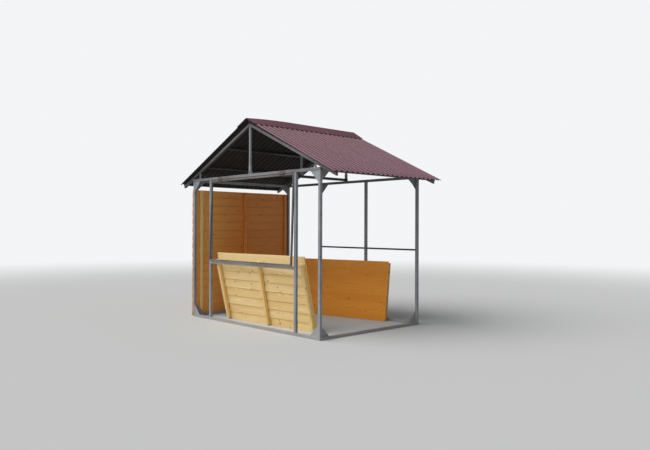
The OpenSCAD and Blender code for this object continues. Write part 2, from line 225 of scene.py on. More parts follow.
def bend(before, corner, after, reach):
    """Start, corner and end of the arc that rounds a corner."""
    corner = Vector(corner)
    start = corner + (Vector(before) - corner).normalized() * reach
    end = corner + (Vector(after) - corner).normalized() * reach
    return start, corner, end


def soften(outline, radius, steps=2):
    """Rounds each corner of a convex outline in a few steps."""
    rounded = []
    for i, corner in enumerate(outline):
        before, after = outline[i - 1], outline[(i + 1) % len(outline)]
        to_before, to_after = Vector(before) - Vector(corner), Vector(after) - Vector(corner)
        half = to_before.normalized().angle(to_after.normalized()) / 2
        reach = min(radius / math.tan(half), 0.45 * to_before.length, 0.45 * to_after.length)
        start, corner, end = bend(before, corner, after, reach)
        for k in range(steps + 1):
            t = k / steps
            point = start * (1 - t) ** 2 + corner * 2 * t * (1 - t) + end * t ** 2
            rounded.append((point.x, point.y))
    return rounded


def loft(sides, rings):
    """Faces of a closed solid whose rings of points lie one behind the other."""
    faces = []
    for i in range(rings - 1):
        for k in range(sides):
            k2 = (k + 1) % sides
            faces.append((i * sides + k, i * sides + k2, (i + 1) * sides + k2, (i + 1) * sides + k))
    last = (rings - 1) * sides
    faces.append(tuple(range(sides - 1, -1, -1)))
    faces.append(tuple(range(last, last + sides)))
    return faces


def plank(build, outline, x0, x1, place, seed, pith, mat=0, steps=10, bow=0.0006, radius=0.0016,
          ends=None, side=None):
    """A board along local X, with its outline in local Y and Z, eased edges and a slight bow.
    ends is the material of its sawn ends, side that of the face on the outline's first line."""
    rnd = random.Random(seed)
    ring = soften(outline, radius)
    phase_y, phase_z = rnd.uniform(0, TURN), rnd.uniform(0, TURN)
    lift = rnd.uniform(0.5, 1.0) * bow
    drift, shift = rnd.uniform(-0.02, 0.02), rnd.uniform(0, 40)
    across, depth = rnd.uniform(-0.5, 0.5) * pith, rnd.uniform(0.35, 1.0) * pith
    middle_y = sum(y for y, z in ring) / len(ring)
    middle_z = sum(z for y, z in ring) / len(ring)
    flip = rnd.choice((-1, 1))
    points, grain = [], []
    for i in range(steps + 1):
        x = x0 + (x1 - x0) * i / steps
        dy = lift * math.sin(x * 2.1 + phase_y)
        dz = lift * 0.7 * math.sin(x * 1.7 + phase_z)
        for y, z in ring:
            points.append(place @ Vector((x, y + dy, z + dz)))
            grain.append((x + shift, (z - middle_z) + across + drift * x, (y - middle_y) * flip + depth))
    first_face = len(build.faces)
    build.add(points, loft(len(ring), steps + 1), mat, False, grain, rnd.random())
    if ends is not None:
        build.mats[-2:] = [ends, ends]
    if side is not None:
        first_line = 2
        for i in range(steps):
            build.mats[first_face + i * len(ring) + first_line] = side


def tube(build, start, end, up, width, height, wall=TUBE_WALL, radius=TUBE_ROUND, cut=None, below=None,
         lead=0.0):
    """A hollow square tube with open ends. cut is the normal of the planes that cut it off, below the
    material of its lower face, and lead the length of a first stretch that has material 1."""
    start, end, up = Vector(start), Vector(end), Vector(up)
    axis = (end - start).normalized()
    side = axis.cross(up).normalized()
    up = side.cross(axis).normalized()
    cut = Vector(cut) if cut else axis
    planes = [(start, cut), (end, cut)]
    if lead:
        planes.insert(1, (start + axis * lead, axis))
    bends = 4
    outer = soften(rectangle(width, height), radius, bends)
    bore = soften(rectangle(width, height, wall), max(radius - wall, 0.001), bends)
    points = []
    for ring in (outer, bore):
        for origin, normal in planes:
            for s, u in ring:
                off = side * s + up * u
                points.append(origin + off - axis * (off.dot(normal) / axis.dot(normal)))
    m = len(outer)
    inner = len(planes) * m
    last = inner - m
    faces = []
    for c in range(0, last, m):
        for k in range(m):
            k2 = (k + 1) % m
            faces.append((c + k, c + k2, c + m + k2, c + m + k))
            faces.append((inner + c + k, inner + c + m + k, inner + c + m + k2, inner + c + k2))
    first_face = len(build.faces)
    first_point = build.add(points, faces, smooth=True)
    if lead:
        build.mats[first_face:first_face + 2 * m] = [1] * (2 * m)
    if below is not None:
        for k in range(bends // 2, bends // 2 + bends + 1):
            build.mats[first_face + 2 * k] = below
    for k in range(m):
        k2 = (k + 1) % m
        build.more(first_point, [(k, inner + k, inner + k2, k2)], 1 if lead else 0)
        build.more(first_point, [(last + k, last + k2, inner + last + k2, inner + last + k)])


def circle(centre, side, up, radius, count, turn=0.0):
    """Points on a circle in the plane of side and up."""
    angles = [2 * math.pi * k / count + turn for k in range(count)]
    return [centre + side * (radius * math.cos(a)) + up * (radius * math.sin(a)) for a in angles]


def turned(build, centre, axis, rings, sides, turn=0.0):
    """A turned or many-sided solid. rings holds pairs of distance along the axis and radius."""
    centre, axis = Vector(centre), Vector(axis).normalized()
    side = axis.orthogonal().normalized()
    up = axis.cross(side)
    points = []
    for distance, radius in rings:
        points += circle(centre + axis * distance, side, up, radius, sides, turn)
    build.add(points, loft(sides, len(rings)))


def hex_head(build, centre, axis, across, height, turn):
    """A six-sided screw head, bolt head or nut with a chamfered top."""
    r = across / math.sqrt(3)
    turned(build, centre, axis, [(0, r), (height * 0.82, r), (height, r * 0.86)], 6, turn)


# Materials
class Graph:
    """Writes a node tree in few lines."""

    def __init__(self, tree):
        self.tree = tree
        self.tree.nodes.clear()

    def node(self, kind):
        return self.tree.nodes.new("ShaderNode" + kind)

    def put(self, socket, value):
        """Links a socket to another one, or sets it to a plain value."""
        if isinstance(value, bpy.types.NodeSocket):
            self.tree.links.new(value, socket)
        elif value is not None:
            socket.default_value = value

    def fill(self, node, *values, **named):
        """Puts values in a node's inputs, in their order or by name, and returns its first output."""
        for socket, value in zip(node.inputs, values):
            self.put(socket, value)
        for name, value in named.items():
            self.put(node.inputs[name.replace("_", " ")], value)
        return node.outputs[0]

    def math(self, operation, a, b=None, c=None, clamp=False):
        node = self.node("Math")
        node.operation, node.use_clamp = operation, clamp
        return self.fill(node, a, b, c)

    def times(self, a, b):
        return self.math("MULTIPLY", a, b)

    def times_plus(self, a, b, c):
        return self.math("MULTIPLY_ADD", a, b, c)

    def span(self, value, lo, hi, out_lo=0.0, out_hi=1.0):
        """Carries a value smoothly from between lo and hi to between out_lo and out_hi."""
        node = self.node("MapRange")
        node.interpolation_type = "SMOOTHSTEP"
        return self.fill(node, value, lo, hi, out_lo, out_hi)

    def mix(self, amount, a, b):
        """A colour between a and b."""
        node = self.node("Mix")
        node.data_type = "RGBA"
        for number, value in ((0, amount), (6, a), (7, b)):
            self.put(node.inputs[number], value)
        return node.outputs[2]

    def vec(self, x, y, z=0.0):
        return self.fill(self.node("CombineXYZ"), x, y, z)

    def stretch(self, parts, factors):
        """A vector of parts that are each multiplied by a factor."""
        return self.vec(*[self.times(part, factor) for part, factor in zip(parts, factors)])

    def split(self, vector):
        node = self.node("SeparateXYZ")
        self.fill(node, vector)
        return node.outputs

    def vmath(self, operation, a, b=None):
        node = self.node("VectorMath")
        node.operation = operation
        self.fill(node, a, b)
        return node.outputs["Value" if operation in ("LENGTH", "DISTANCE") else "Vector"]

    def noise(self, vector, scale, detail=2.0, rough=0.5):
        return self.fill(self.node("TexNoise"), Vector=vector, Scale=scale, Detail=detail, Roughness=rough)

    def coords(self):
        return self.node("TexCoord").outputs["Object"]

    def normal(self):
        return self.split(self.node("NewGeometry").outputs["Normal"])

    def attribute(self, name, output):
        node = self.node("Attribute")
        node.attribute_name = name
        return node.outputs[output]

    def bump(self, height, strength, distance, normal=None):
        node = self.node("Bump")
        return self.fill(node, Height=height, Strength=strength, Distance=distance, Normal=normal)


class Paint(Graph):
    """The node tree of a new material."""

    def __init__(self, name):
        self.material = bpy.data.materials.new(name)
        self.material.use_nodes = True
        super().__init__(self.material.node_tree)
        self.out = self.node("OutputMaterial").inputs[0]

    def finish(self, colour, rough, normal, **plain):
        """Ends in one shader, with its further sockets set to plain values."""
        shader = self.node("BsdfPrincipled")
        self.put(self.out, self.fill(shader, Base_Color=colour, Roughness=rough, Normal=normal, **plain))
        return self.material


def linear(value):
    """Linear light of one display value from 0 to 255."""
    share = value / 255
    return share / 12.92 if share <= 0.04045 else ((share + 0.055) / 1.055) ** 2.4


def rgb(red, green, blue):
    """Linear colour of three display values."""
    return (linear(red), linear(green), linear(blue), 1.0)


def knots_on(paint, along, across, shift, share):
    """Knots in a share of a board's cells: the distance from a cell's middle, the knot and its halo."""
    per_metre_along, per_metre_across, roundness = 3.0, 9.0, 1.25
    cell = paint.node("TexVoronoi")
    cell.voronoi_dimensions, cell.feature = "2D", "F1"
    where = paint.vec(paint.times_plus(along, per_metre_along, shift),
                      paint.times_plus(across, per_metre_across, shift))
    paint.fill(cell, Vector=where, Scale=1.0)
    away = paint.split(paint.vmath("SUBTRACT", where, cell.outputs["Position"]))
    reach_along = paint.math("DIVIDE", away[X], per_metre_along * roundness)
    distance = paint.vmath("LENGTH", paint.vec(reach_along, paint.math("DIVIDE", away[Y], per_metre_across)))
    pick = paint.split(cell.outputs["Color"])
    there = paint.math("LESS_THAN", pick[X], share)
    size = paint.times_plus(pick[Y], 0.0085, 0.0035)
    relative = paint.math("DIVIDE", distance, size)
    core = paint.times(paint.span(relative, 0.7, 1.12, 1.0, 0.0), there)
    halo = paint.times(paint.span(relative, 0.9, 4.2, 1.0, 0.0), there)
    return distance, core, halo


def growth_rings(paint, along, across, depth, halo):
    """Late wood of growth rings round the board's pith line. The rings bend round knots."""
    ring_width = 0.0042
    warp = paint.noise(paint.stretch((along, across, depth), (1.6, 9.0, 9.0)), 1.0)
    radius = paint.vmath("LENGTH", paint.vec(across, depth))
    radius = paint.times_plus(warp, 0.030, radius)
    radius = paint.times_plus(halo, 0.010, radius)
    phase = paint.math("FRACT", paint.math("DIVIDE", radius, ring_width))
    return paint.times(paint.span(phase, 0.30, 0.90), paint.span(phase, 0.92, 1.0, 1.0, 0.0))


def wood(name, early, late, knot, dark, knots, contrast, rough=0.6, coat=0.0, front_painted_light=None):
    """Pine with growth rings, fibres and knots, with an optional lighter colour painted on right-hand faces
    near the front as the light that falls in there.
    """
    paint = Paint(name)
    along, across, depth = paint.split(paint.attribute("grain", "Vector"))
    number = paint.attribute("board", "Fac")
    shift = paint.times(number, 61.0)
    distance, core, halo = knots_on(paint, along, across, shift, knots)
    summer = growth_rings(paint, along, across, depth, halo)
    fibre = paint.noise(paint.stretch((along, across, depth), (9.0, 420.0, 420.0)), 1.0, 3.0, 0.6)
    moved = paint.math("ADD", depth, shift)
    cloud = paint.noise(paint.stretch((along, across, moved), (1.1, 5.0, 1.0)), 1.0, 3.0, 0.55)
    streak = paint.noise(paint.stretch((along, across, depth), (0.9, 60.0, 1.0)), 1.0, 2.0, 0.6)
    tone = paint.times_plus(summer, contrast, paint.times_plus(fibre, 0.5, -0.25))
    tone = paint.math("ADD", tone, paint.times_plus(streak, 0.5, -0.25), clamp=True)
    colour = paint.mix(tone, early, late)
    colour = paint.mix(paint.times(halo, 0.30), colour, late)
    cloud = paint.math("ADD", cloud, paint.times_plus(number, 0.34, -0.17))
    colour = paint.mix(paint.span(cloud, 0.38, 0.72, 0.0, 0.55), colour, dark)
    # painted light: right-hand faces near the front turn lighter
    if front_painted_light:
        inner_face = paint.span(paint.normal()[X], 0.3, 0.7)
        near_front = paint.span(paint.split(paint.coords())[Y], -1.0, -0.1, 0.6, 0.0)
        colour = paint.mix(paint.times(inner_face, near_front), colour, front_painted_light)
    ringed = paint.times_plus(paint.math("SINE", paint.times(distance, 3600.0)), 0.12, 0.88)
    colour = paint.mix(paint.times(core, ringed), colour, knot)
    height = paint.times_plus(summer, 0.5, paint.times(fibre, 0.6))
    height = paint.times_plus(core, -0.5, height)
    rough = paint.times_plus(fibre, 0.22, rough - 0.11)
    relief = paint.bump(height, 0.35, 0.0006)
    return paint.finish(colour, rough, relief, Coat_Weight=coat, Coat_Roughness=0.35)


def burnt(paint, coords, mottle, spots):
    """Scorch marks round a few spots."""
    marks = None
    for spot in spots:
        distance = paint.vmath("DISTANCE", coords, spot)
        distance = paint.times_plus(paint.math("SUBTRACT", mottle, 0.5), 0.09, distance)
        mark = paint.span(distance, 0.035, 0.10, 1.0, 0.0)
        marks = mark if marks is None else paint.math("MAXIMUM", marks, mark)
    return marks


def steel_paint(name, base, shade, worn, scuff=0.55, hot=()):
    """Sprayed paint on square tube: mottled, scuffed, dusty at the foot and burnt round the hot spots."""
    paint = Paint(name)
    coords = paint.coords()
    cloud = paint.noise(coords, 2.3, 3.0, 0.55)
    mottle = paint.noise(coords, 55.0, 4.0, 0.6)
    peel = paint.noise(coords, 900.0)
    colour = paint.mix(paint.span(cloud, 0.3, 0.7), base, shade)
    colour = paint.mix(paint.span(mottle, 0.35, 0.75, 0.0, 0.22), colour, shade)
    grime = paint.span(paint.noise(coords, 7.0, 5.0, 0.7), 0.50, 0.66)
    grime = paint.times(grime, paint.span(mottle, 0.42, 0.6))
    colour = paint.mix(paint.times(grime, scuff), colour, worn)
    chip = paint.span(paint.noise(coords, 38.0, 3.0, 0.7), 0.655, 0.675)
    chip = paint.times(chip, paint.span(paint.noise(coords, 3.1), 0.5, 0.6))
    colour = paint.mix(paint.times(chip, 0.8), colour, rgb(92, 70, 58))
    near_ground = paint.span(paint.split(coords)[Z], 0.0, 0.22, 0.55, 0.0)
    dust = paint.times(near_ground, paint.span(mottle, 0.3, 0.7, 0.5, 1.0))
    colour = paint.mix(dust, colour, rgb(165, 158, 148))
    if hot:
        colour = paint.mix(paint.times(burnt(paint, coords, mottle, hot), 0.72), colour, rgb(84, 70, 62))
    rough = paint.times_plus(grime, 0.2, paint.times_plus(mottle, 0.22, 0.34))
    height = paint.times_plus(peel, 0.25, paint.times(mottle, 0.6))
    height = paint.times_plus(chip, -0.5, height)
    return paint.finish(colour, rough, paint.bump(height, 0.25, 0.0005))


def sheet_paint(name, base, shade, rough, coat, dust_and_light, dust_and_light_amount):
    """Coil-coated steel sheet: an even colour, dulled by dust in streaks down the slope. Upward-facing flats
    take more of the lighter colour than the rib sides, as painted light.
    """
    paint = Paint(name)
    coords = paint.coords()
    x, y, z = paint.split(coords)
    cloud = paint.noise(coords, 1.7, 3.0, 0.5)
    run = paint.noise(paint.vec(paint.times(x, 1.2), paint.times(y, 9.0)), 1.0, 4.0, 0.6)
    # painted light: faces that point up get more of the lighter colour than the steep rib sides
    flat = paint.span(paint.normal()[Z], 0.60, 0.85, 0.8, 1.0)
    fine = paint.noise(coords, 140.0, 3.0, 0.6)
    spots = paint.span(paint.noise(coords, 21.0), 0.70, 0.74)
    dust_and_light_film = paint.times(paint.span(run, 0.30, 0.75, 0.45, 1.0), paint.span(fine, 0.3, 0.7, 0.7, 1.0))
    dust_and_light_film = paint.times(dust_and_light_film, flat)
    colour = paint.mix(paint.span(cloud, 0.3, 0.7), base, shade)
    colour = paint.mix(paint.times(dust_and_light_film, dust_and_light_amount), colour, dust_and_light)
    colour = paint.mix(paint.times(spots, dust_and_light_amount * 1.2), colour, dust_and_light)
    rough = paint.times_plus(dust_and_light_film, 0.18, rough)
    wave = paint.bump(paint.noise(paint.vec(x, paint.times(y, 2.0), z), 5.0, 1.0), 0.35, 0.004)
    normal = paint.bump(paint.noise(coords, 1600.0, 1.0), 0.12, 0.0002, wave)
    return paint.finish(colour, rough, normal, Coat_Weight=coat, Coat_Roughness=0.22)


def plain_metal(name, bright, dull, rough, metal):
    """Zinc-plated fastener or painted weld, with tarnish in blotches."""
    paint = Paint(name)
    blotch = paint.noise(paint.coords(), 260.0, 4.0, 0.65)
    colour = paint.mix(paint.span(blotch, 0.35, 0.7), bright, dull)
    rough = paint.times_plus(blotch, 0.3, rough - 0.12)
    return paint.finish(colour, rough, paint.bump(blotch, 0.3, 0.0003), Metallic=metal)


GREY = steel_paint("grey_paint_tube", rgb(147, 152, 157), rgb(128, 133, 139), rgb(98, 92, 86))
# painted light: a lighter copy of the grey paint on the counter rail, which the flap's rail would shade
RAIL = steel_paint("grey_paint_rail_painted_light", rgb(170, 167, 163), rgb(150, 147, 144), rgb(104, 94, 84))
# painted shade: a darker copy of the grey paint on the front header, for the shade under the roof's edge; its
# scuffs and burn marks are real
HEADER = steel_paint("grey_paint_header_painted_shade", rgb(126, 127, 129), rgb(104, 104, 107), rgb(86, 79, 72),
                     scuff=0.8, hot=HOT)
# painted shade: a darker copy of the grey paint for the rafters and the back header, in the shade of the roof
RAFTER = steel_paint("grey_paint_rafter_painted_shade", rgb(128, 129, 131), rgb(108, 108, 111), rgb(88, 80, 74), scuff=0.7)
FLAP = steel_paint("grey_paint_flap", rgb(112, 105, 104), rgb(92, 86, 88), rgb(86, 68, 56),
                   scuff=0.8, hot=HOT)
# Dark grey paint, also used as painted shade on the middle beam, the ridge beam, the purlins and the rafters'
# lower faces under the roof
DARK = steel_paint("dark_paint_and_painted_shade", rgb(68, 69, 72), rgb(52, 53, 56), rgb(66, 56, 50))
ROOF_TOP = sheet_paint("roof_coating_top", rgb(104, 58, 74), rgb(99, 54, 69),
                       rough=0.55, coat=0.06, dust_and_light=rgb(142, 120, 130), dust_and_light_amount=0.40)
CAP_TOP = sheet_paint("roof_coating_cap", rgb(102, 48, 66), rgb(94, 42, 59),
                      rough=0.48, coat=0.10, dust_and_light=rgb(130, 104, 110), dust_and_light_amount=0.25)
# painted shade: the sheets' underside is nearly black, for the shade under the roof
ROOF_UNDER = sheet_paint("roof_underside_painted_shade", rgb(29, 27, 28), rgb(25, 24, 25),
                         rough=0.65, coat=0.0, dust_and_light=rgb(38, 36, 36), dust_and_light_amount=0.3)
RAW = wood("raw_pine", early=rgb(246, 220, 164), late=rgb(206, 166, 96), knot=rgb(120, 78, 44),
           dark=rgb(222, 184, 112), knots=0.42, contrast=0.75)
# Pale sawn ends, brightened further as painted light on the boards' right-hand ends and the counter panel's
# batten sides
SAWN_AND_PAINTED_LIGHT = wood("sawn_pine_and_painted_light", early=rgb(255, 216, 130), late=rgb(250, 194, 104), knot=rgb(150, 100, 56),
            dark=rgb(252, 204, 116), knots=0.0, contrast=0.4)
STAIN = {"knots": 0.35, "contrast": 0.55, "rough": 0.48, "coat": 0.08}
STAIN_OUT = wood("stained_pine_back", early=rgb(232, 156, 52), late=rgb(200, 120, 30), knot=rgb(96, 50, 20),
                 dark=rgb(216, 134, 38), **STAIN)
# painted light: the wall's inner face is lighter near the front
STAIN_WALL = wood("stained_pine_wall", early=rgb(238, 152, 62), late=rgb(212, 118, 38), knot=rgb(100, 54, 24),
                  dark=rgb(222, 132, 48), front_painted_light=rgb(255, 204, 108), **STAIN)
# painted light: the wall's front batten is paler than the wall stain, where light falls on it
BATTEN_PAINTED_LIGHT = wood("pine_batten_painted_light", early=rgb(255, 216, 144), late=rgb(252, 200, 118),
                    knot=rgb(124, 78, 40), dark=rgb(255, 208, 130), knots=0.35, contrast=0.5, rough=0.5)
ZINC = plain_metal("zinc_fastener", rgb(196, 198, 200), rgb(140, 142, 146), rough=0.38, metal=0.85)
WELD = plain_metal("painted_weld", rgb(138, 144, 148), rgb(96, 92, 90), rough=0.5, metal=0.0)


# Steel nodes kept from the frame
NODE_PAINT = {"back_rail": DARK, "hinge_pins": DARK, "header_front": HEADER, "header_back": RAFTER,
              "counter_rail": RAIL, "hinge_barrels": FLAP}
REPLACED_WORDS = ("wall", "panel", "roof", "ridge", "purlin", "rafters", "middle_beam")


def paint_of(name):
    """The paint of a steel node, or None for a node that another piece replaces."""
    if name in NODE_PAINT:
        return NODE_PAINT[name]
    if "flap" in name:
        return FLAP
    return None if any(word in name for word in REPLACED_WORDS) else GREY


def ease_edges(name, node):
    """Rounds a steel node's edges, plates less than tubes."""
    plate = "gusset" in name or "feet" in name
    weld_corners = node.modifiers.new("join", "WELD")
    weld_corners.merge_threshold = 0.00005
    bevel = node.modifiers.new("soft_edges", "BEVEL")
    bevel.limit_method, bevel.angle_limit = "ANGLE", math.radians(35)
    tube_edge = THIN_EDGE if min(node.dimensions) < THIN_TUBE else TUBE_EDGE
    bevel.width = PLATE_EDGE if plate else tube_edge
    bevel.segments = 2 if plate else 3


def finish_steel_nodes():
    for name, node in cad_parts.items():
        paint = paint_of(name)
        if paint is None:
            continue
        node.data.materials.clear()
        node.data.materials.append(paint)
        if "hinge" not in name:
            ease_edges(name, node)


# Open-ended tubes
def make_beam(name, foot, materials, wall=TUBE_WALL, lead=0.0):
    """A beam from gable to gable. A lead is a length of its front end with the second material."""
    build = Build()
    z = foot + TUBE / 2
    tube(build, (0, FRONT, z), (0, BACK, z), (0, 0, 1), TUBE, TUBE, wall, lead=lead)
    build.make(name + "_tube", materials, name)


def make_rafters(side, word):
    """Two rafters with ends cut upright, with painted shade on their lower faces."""
    build = Build()
    up = (side * math.sin(RAFTER_PITCH), 0, math.cos(RAFTER_PITCH))
    apex = rafter_under(0) + RAFTER_RISE / 2
    eave = rafter_under(RAFTER_END) + RAFTER_RISE / 2
    for y in GABLE_Y:
        tube(build, (0, y + TUBE / 2, apex), (side * RAFTER_END, y + TUBE / 2, eave), up, TUBE, TUBE,
             cut=(1, 0, 0), below=1)
    build.make("rafter_tubes_" + word, [RAFTER, DARK], "rafters_" + word)


def make_purlins(side, word):
    """Purlins from gable to gable, which fill the wedge between rafters and sheets."""
    build = Build()
    place = slope(side)
    near, far = FRONT - ROOF_FRONT, BACK - ROOF_FRONT
    for x in PURLIN_AT:
        u, height = x / COS + PURLIN_W / 2, purlin_height(x / COS)
        tube(build, place @ Vector((u, near, -height / 2)), place @ Vector((u, far, -height / 2)),
             (side * SIN, 0, COS), PURLIN_W, height, PURLIN_WALL, PURLIN_ROUND)
    # painted shade: the purlins are dark for the shade under the roof
    build.make("purlin_tubes_" + word, [DARK], "purlins_" + word)


# Roof sheets
def rib(number, lift=0.0):
    """Outline of one rib with rounded bends, as pairs of distance along the roof and height."""
    middle, crest, flat = (number + 0.5) * RIB_STEP, RIB_H - RIB_SLACK, 0.02
    foot, top = RIB_FOOT / 2, RIB_TOP / 2
    line = [(middle - foot - flat, SKIN), (middle - foot, SKIN), (middle - top, crest),
            (middle + top, crest), (middle + foot, SKIN), (middle + foot + flat, SKIN)]
    points = []
    for before, corner, after in zip(line, line[1:], line[2:]):
        start, corner, end = bend(before, corner, after, BEND)
        arc = (start, (start + end) * 0.25 + corner * 0.5, end)
        points += [(point.x, point.y + lift) for point in arc]
    return points


def sheet_outlines():
    """Outlines of the front and the rear sheet, which lap over one rib."""
    front = [(0.0, SKIN)]
    for number in range(LAP_RIB):
        front += rib(number)
    front += rib(LAP_RIB)[:-3]
    rear = rib(LAP_RIB, SKIN * 1.05)[1:]
    for number in range(LAP_RIB + 1, RIBS):
        rear += rib(number)
    return front, rear + [(ROOF_LEN, SKIN)]


def outline_normals(outline):
    """The directions square to an outline at its points."""
    last = len(outline) - 1
    normals = []
    for k in range(len(outline)):
        along = (Vector(outline[min(k + 1, last)]) - Vector(outline[max(k - 1, 0)])).normalized()
        normals.append(Vector((-along.y, along.x)))
    return normals


def sheet_points(outline, part, side, ends, steps):
    """Points of a sheet's upper and lower skin, slightly wavy, from the ridge to the eave."""
    place = slope(side)
    ridge, eave = ends
    normals = outline_normals(outline)
    upper, lower = [], []
    for i in range(steps + 1):
        u = ridge + (eave - ridge) * i / steps
        for (y, height), normal in zip(outline, normals):
            wave = 0.0007 * noise.noise(Vector((u * 2.2, y * 9.0, side * 3.1 + part)))
            upper.append(place @ Vector((u, y, height + wave)))
            under = Vector((y, height)) - normal * SKIN
            lower.append(place @ Vector((u, under.x, under.y + wave)))
    return upper, lower


def turned_over(face, over):
    return face[::-1] if over else face


def add_sheet(build, outline, part, side):
    """One profiled sheet: its upper skin, its lower skin and the rim between them."""
    steps, m, left = 10, len(outline), side < 0
    ends = (SHEET_START, SLOPE_LEN - (0.0 if part else FRONT_SHEET_SHORT))
    upper, lower = sheet_points(outline, part, side, ends, steps)
    off = len(upper)
    top_faces, low_faces, rim = [], [], []
    for i in range(steps):
        for k in range(m - 1):
            face = (i * m + k, (i + 1) * m + k, (i + 1) * m + k + 1, i * m + k + 1)
            top_faces.append(turned_over(face, left))
            low_faces.append(turned_over(tuple(off + j for j in face), not left))
        for k in (0, m - 1):
            face = (i * m + k, off + i * m + k, off + (i + 1) * m + k, (i + 1) * m + k)
            rim.append(turned_over(face, (k == 0) == left))
    for k in range(m - 1):
        for i in (0, steps):
            face = (i * m + k, i * m + k + 1, off + i * m + k + 1, off + i * m + k)
            rim.append(turned_over(face, (i == 0) == left))
    rounded = [(Vector(a) - Vector(b)).length < 0.004 for a, b in zip(outline, outline[1:])] * steps
    first = build.add(upper + lower, top_faces, 0, rounded)
    build.more(first, low_faces, 1, rounded)
    build.more(first, rim)


def make_roof_skin(side, word):
    build = Build()
    for part, outline in enumerate(sheet_outlines()):
        add_sheet(build, outline, part, side)
    build.make("roof_skin_" + word, [ROOF_TOP, ROOF_UNDER], "roof_sheet_" + word)


# Ridge cap
def cap_rise(x, y):
    """How far the cap stands up at x, at y behind the roof's front end."""
    share = min(1.0, y / CAP_FRONT)
    return CAP_LIFT * share * (2 - share) * (1 - abs(x) / CAP_REACH)


def over_sheets(x, n):
    """Height at x of a line n above the sheets' underside."""
    return SHEET_UNDER + n / COS - abs(x) * TAN


def add_cap(build, part, y0, y1, extra):
    """One folded length of the cap. extra lifts the rear one over the front one."""
    steps = 12
    half = [0.007, 0.014, CAP_REACH * 0.5, CAP_REACH - 0.012, CAP_REACH]
    xs = [-x for x in reversed(half)] + [0.0] + half
    fold_dip = {0.0: 0.0036, half[0]: 0.0010}
    upper, lower = [[(x, over_sheets(x, n + extra) - fold_dip.get(abs(x), 0.0)) for x in xs]
                    for n in (CAP_OVER, CAP_UNDER)]
    loop = upper + lower[::-1]
    m = len(loop)
    points, faces = [], []
    for i in range(steps + 1):
        y = ROOF_FRONT + y0 + (y1 - y0) * i / steps
        for x, z in loop:
            near_edge = max(0.0, abs(x) / CAP_REACH - 0.3)
            wave = 0.0009 * near_edge * (1 + noise.noise(Vector((x * 5, y * 4.0, 7.7 + part))))
            points.append(Vector((x, y, z + wave + cap_rise(x, y - ROOF_FRONT))))
    for i in range(steps):
        for k in range(m):
            k2 = (k + 1) % m
            faces.append((i * m + k, (i + 1) * m + k, (i + 1) * m + k2, i * m + k2))
    first = build.add(points, faces)
    for i in (0, steps):
        for k in range(len(xs) - 1):
            face = (i * m + k, i * m + k + 1, i * m + m - 2 - k, i * m + m - 1 - k)
            build.more(first, [turned_over(face, i > 0)])


def add_hem(build, side, y0, y1, extra):
    """The edge of one length of the cap, folded back under itself."""
    x0, x1 = side * (CAP_REACH - HEM_W), side * CAP_REACH
    points = []
    for y in (y0, y1):
        for x, n in ((x0, HEM_UNDER), (x1, HEM_UNDER), (x1, HEM_OVER), (x0, HEM_OVER)):
            z = over_sheets(x, n + extra) + HEM_RISE
            points.append(Vector((x, ROOF_FRONT + y, z + cap_rise(x, y))))
    faces = [(0, 1, 2, 3), (7, 6, 5, 4), (0, 4, 5, 1), (1, 5, 6, 2), (2, 6, 7, 3), (3, 7, 4, 0)]
    build.add(points, [turned_over(face, side < 0) for face in faces])


def make_ridge_cap():
    """A folded sheet in two lengths. It rises along the front one to the rear one's height."""
    build = Build()
    lengths = ((0.0, CAP_FRONT, 0.0), (CAP_FRONT - CAP_LAP, ROOF_LEN, CAP_OVER_CAP))
    for part, (y0, y1, extra) in enumerate(lengths):
        add_cap(build, part, y0, y1, extra)
        for side in SIDES:
            add_hem(build, side, y0, y1, extra)
    build.make("ridge_cap_fold", [CAP_TOP], "ridge_cap")


# Screws and bolts
FASTENERS = random.Random(5)


def add_screw(build, point, axis):
    """A roofing screw with its washer."""
    turned(build, point, axis, SCREW_WASHER, 16)
    hex_head(build, point + axis * 0.0014, axis, SCREW_HEAD, SCREW_HEIGHT, FASTENERS.uniform(0, 1))


def strewn(reach):
    """A random step either way, up to reach."""
    return FASTENERS.uniform(-reach, reach)


def make_roof_screws():
    """Screws in the valleys over each purlin, and through the cap on ribs."""
    build = Build()
    for side in SIDES:
        place = slope(side)
        axis = (place.to_3x3() @ Vector((0, 0, 1))).normalized()
        for x in PURLIN_AT:
            u = x / COS + PURLIN_W / 2
            for number in range(1, RIBS, 3):
                point = place @ Vector((u + strewn(0.004), number * RIB_STEP + strewn(0.004), SKIN))
                add_screw(build, point, axis)
        for number in CAP_SCREW_RIBS:
            down, back = CAP_SCREW_DOWN + strewn(0.003), (number + 0.5) * RIB_STEP
            point = place @ Vector((down, back, CAP_OVER))
            point.z += cap_rise(point.x, point.y - ROOF_FRONT) + 0.0015
            add_screw(build, point, axis)
    build.make("roof_screws", [ZINC])


def add_bolt_end(build, point, side):
    """One end of a bolt: its head on the left, its nut and thread on the right."""
    axis, height = Vector((side, 0, 0)), BOLT_HEIGHT if side < 0 else NUT_HEIGHT
    turned(build, point, axis, BOLT_WASHER, 20)
    hex_head(build, point + axis * WASHER_T, axis, BOLT_HEAD, height, FASTENERS.uniform(0, 1))
    if side > 0:
        turned(build, point + axis * (WASHER_T + height), axis, BOLT_THREAD, 14)


def make_king_post_bolts():
    """Two bolts through each king post's foot."""
    build = Build()
    plate_face = edge("king_post_feet", HIGH, X)
    plate_foot = edge("king_post_feet", LOW, Z)
    for y in KING_Y:
        for rise in BOLTS_UP:
            for side in SIDES:
                add_bolt_end(build, Vector((side * plate_face, y + TUBE / 2, plate_foot + rise)), side)
    build.make("king_post_bolts", [ZINC])


